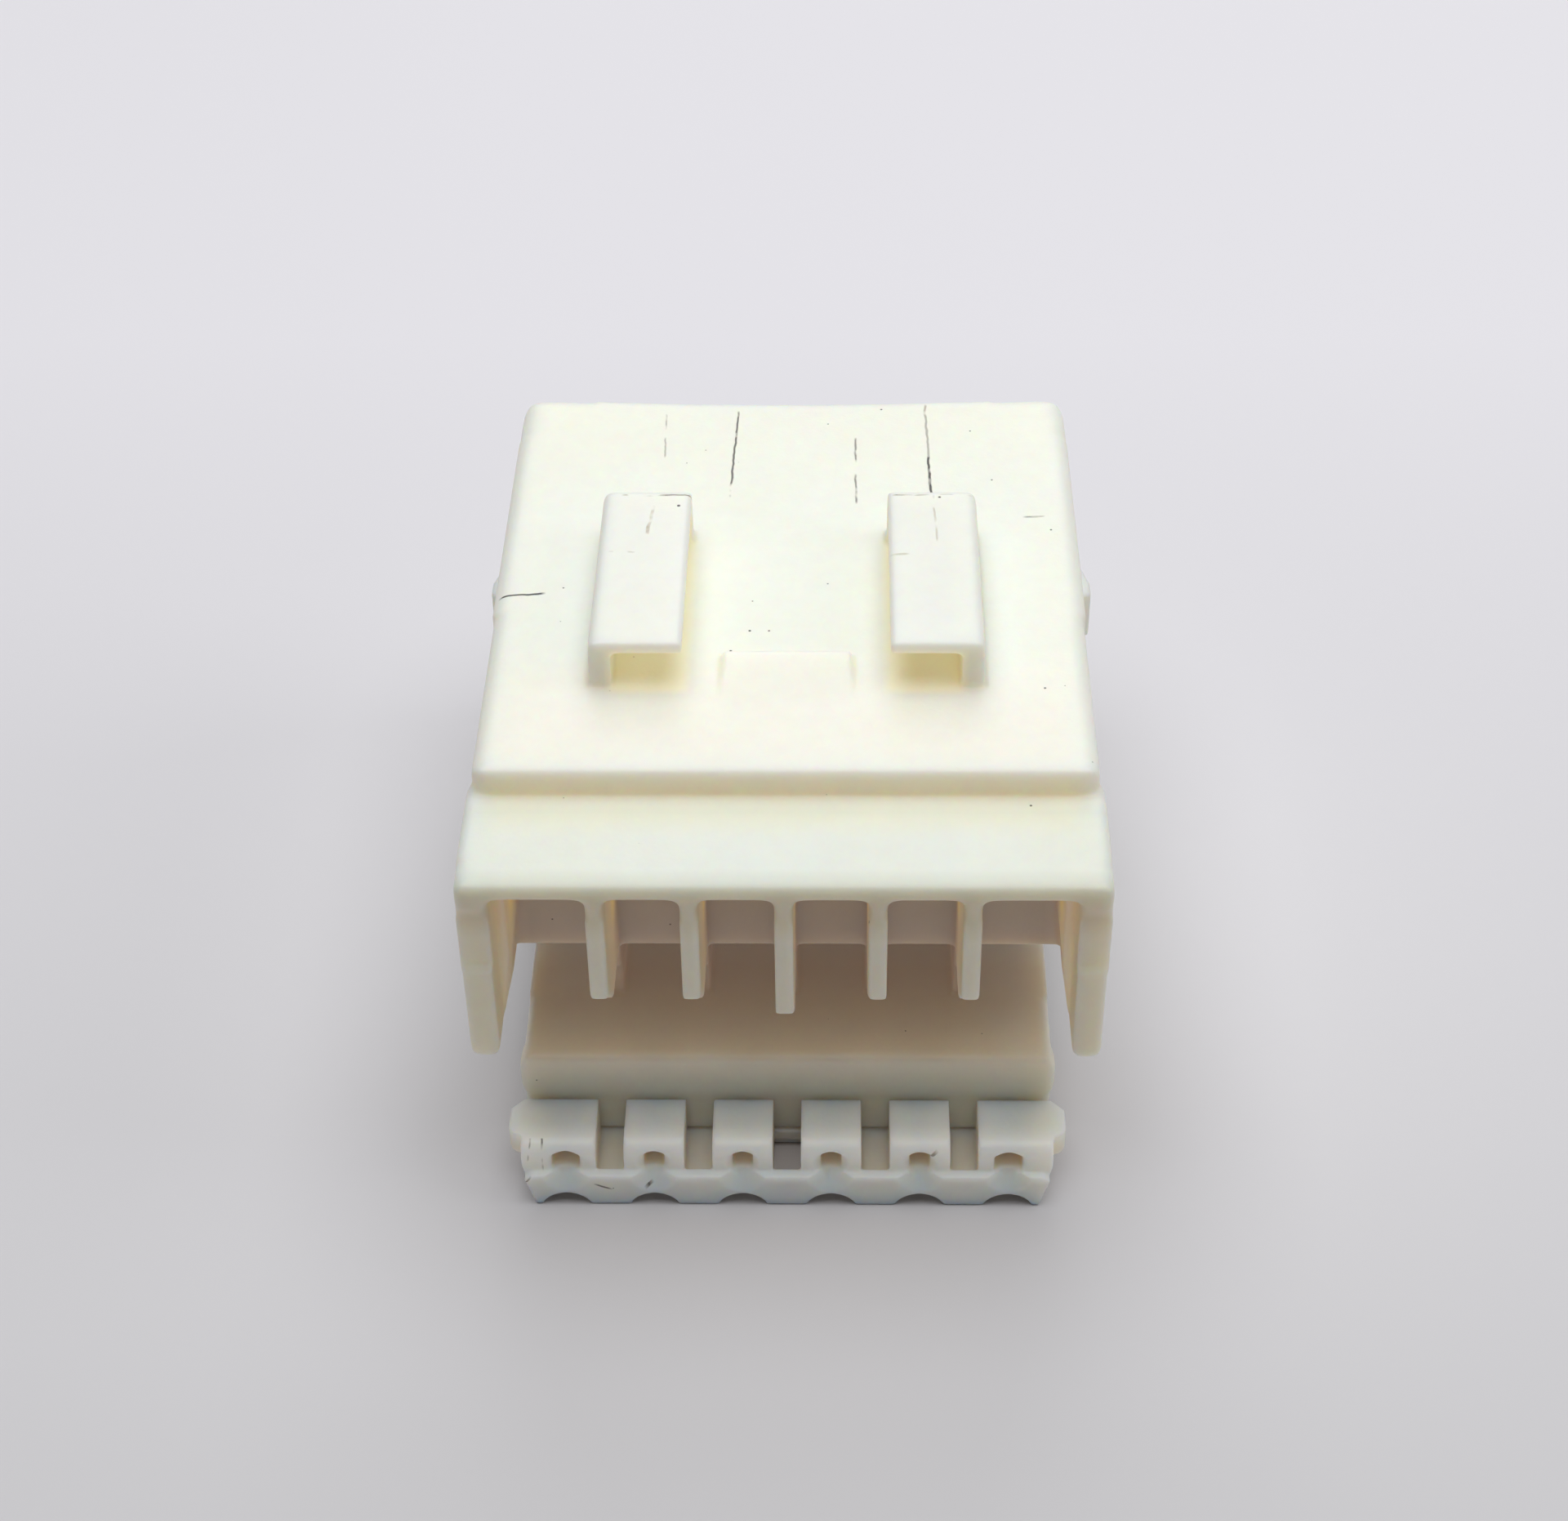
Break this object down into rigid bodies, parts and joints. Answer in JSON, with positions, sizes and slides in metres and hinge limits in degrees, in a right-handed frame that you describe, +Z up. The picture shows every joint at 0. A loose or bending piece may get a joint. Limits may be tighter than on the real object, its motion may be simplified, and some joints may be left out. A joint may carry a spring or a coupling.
{
  "type": "wire to board connector housing",
  "caption": "Moulded two-row crimp contact housing with a hooded mating end, a clip seat on its top and a snapped-in front holder.",
  "frame": {"origin": "on the flat underside, midway along and across the whole part", "axes": "+Z up from the underside, -Y towards the mating end that the header's pins enter, +Y towards the wire end"},
  "size_m": [0.0182, 0.023, 0.0138],
  "materials": {
    "housing_nylon": "natural nylon, slightly translucent, lightly worn",
    "holder_nylon": "natural nylon, slightly translucent, lightly worn"
  },
  "bodies": {
    "root": {"housing": "housing_nylon", "front_holder": "holder_nylon"}
  },
  "joints": []
}
